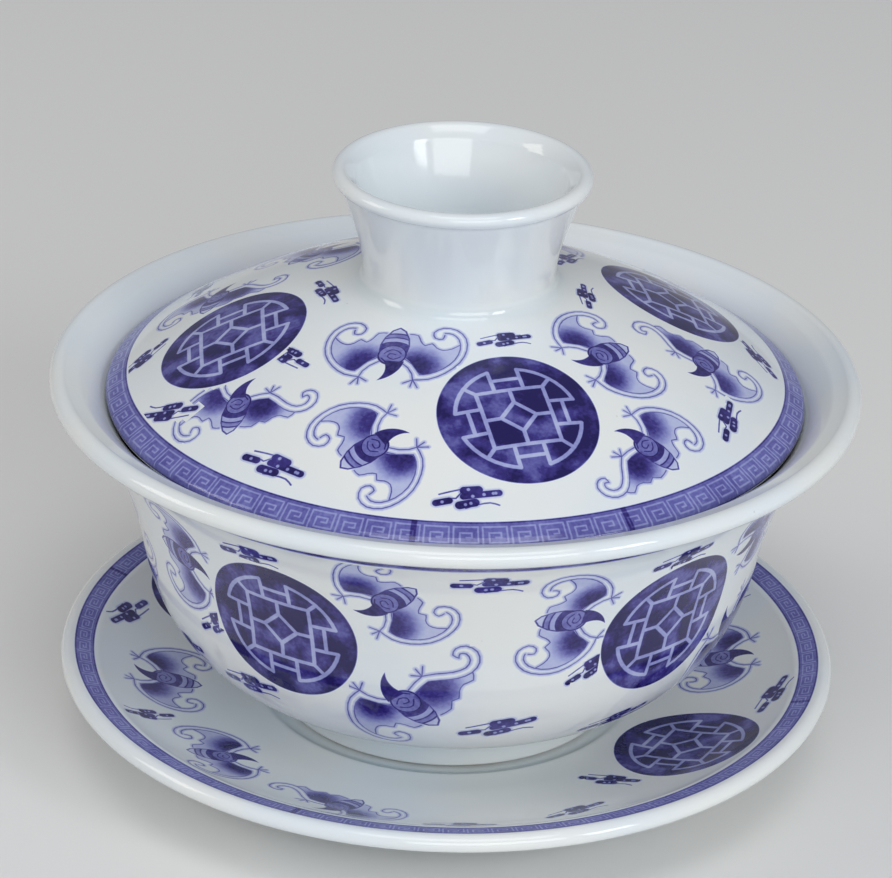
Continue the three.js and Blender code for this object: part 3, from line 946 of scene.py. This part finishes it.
lay(lid, lid_face, roundel, ROUNDEL_OUTLINE,
    [(15.5, 17.9, -3, 0.97), (107, 18.0, 6, 0.96), (-165, 17.6, -8, 0.97), (-76, 17.6, 10, 0.97)])
for k in range(5):
    lay(bowl, bowl_face, roundel, ROUNDEL_OUTLINE, [(k * BOWL_PITCH - 30, 30.4, 1, 1.0)])
for k in range(2):
    lay(saucer, saucer_face, roundel, ROUNDEL_OUTLINE, [(k * 180 + 60, 14.0, 0, 0.92)])

lay_border(bowl, bowl_face, 46.5, LIP_LINE, 1, lip_line)
lay_border(lid, lid_face, -0.9, LID_BAND, LID_REPEATS, lid_fret)
lay_border(saucer, saucer_face, 0.3, SAUCER_BAND, SAUCER_REPEATS, saucer_fret)

# ---- Table and studio --------------------------------------------------------------------------
# A pale matt table top in a soft-lit studio: a broad light above and one in front, a window-shaped
# light at the front right, and a warmer fill from the left.

TABLE_RADIUS = 4.0

bpy.ops.object.select_all(action="DESELECT")
bpy.ops.mesh.primitive_circle_add(vertices=64, radius=TABLE_RADIUS, fill_type="NGON", location=(0, 0, 0))
table = bpy.context.object
table.name = "table_top"
table_paint = bpy.data.materials.new("pale_table")
table_paint.use_nodes = True
table_shader = table_paint.node_tree.nodes["Principled BSDF"]
table_shader.inputs["Base Color"].default_value = (0.82, 0.815, 0.80, 1)
table_shader.inputs["Roughness"].default_value = 0.7
table.data.materials.append(table_paint)

studio = bpy.data.worlds.new("studio")
studio.use_nodes = True
studio.node_tree.nodes["Background"].inputs["Color"].default_value = (0.86, 0.88, 0.92, 1)
studio.node_tree.nodes["Background"].inputs["Strength"].default_value = 0.35
bpy.context.scene.world = studio


def soft_light(name, place, width, height, power, colour):
    """A rectangular light that faces the set."""
    lamp = bpy.data.lights.new(name, "AREA")
    lamp.shape = "RECTANGLE"
    lamp.size = width
    lamp.size_y = height
    lamp.energy = power
    lamp.color = colour
    holder = bpy.data.objects.new(name, lamp)
    bpy.context.scene.collection.objects.link(holder)
    holder.location = place
    aim = Vector((0, 0, 0.04)) - Vector(place)
    holder.rotation_euler = aim.to_track_quat("-Z", "Y").to_euler()


soft_light("overhead", (0.05, -0.42, 1.1), 0.8, 0.5, 3.2, (0.97, 0.98, 1.0))
soft_light("front", (0.25, -1.1, 0.5), 0.9, 0.55, 4.7, (0.95, 0.98, 1.0))
soft_light("window", (0.85, -0.75, 0.55), 0.3, 0.42, 2.8, (0.93, 0.97, 1.0))
soft_light("warm_fill", (-0.95, -0.1, 0.5), 0.4, 0.5, 2.1, (1.0, 0.93, 0.84))

# ---- Camera ------------------------------------------------------------------------------------
# Looks down on the set from the front, rolled by a degree or two.

VIEW_DOWN = 26.0
VIEW_ROLL = 1.9
VIEW_TARGET = Vector((-0.001, 0, 0.0409))
VIEW_DISTANCE = 0.517

camera_data = bpy.data.cameras.new("camera")
camera_data.lens = 161.4
camera_data.sensor_width = 36
camera_data.clip_start = 0.01
camera = bpy.data.objects.new("camera", camera_data)
bpy.context.scene.collection.objects.link(camera)
down = math.radians(VIEW_DOWN)
back = Vector((0, -math.cos(down), math.sin(down)))
tilt = Matrix.Rotation(math.radians(90) - down, 4, "X") @ Matrix.Rotation(math.radians(VIEW_ROLL), 4, "Z")
camera.matrix_world = Matrix.Translation(VIEW_TARGET + back * VIEW_DISTANCE) @ tilt
bpy.context.scene.camera = camera
bpy.context.scene.view_settings.view_transform = "Standard"
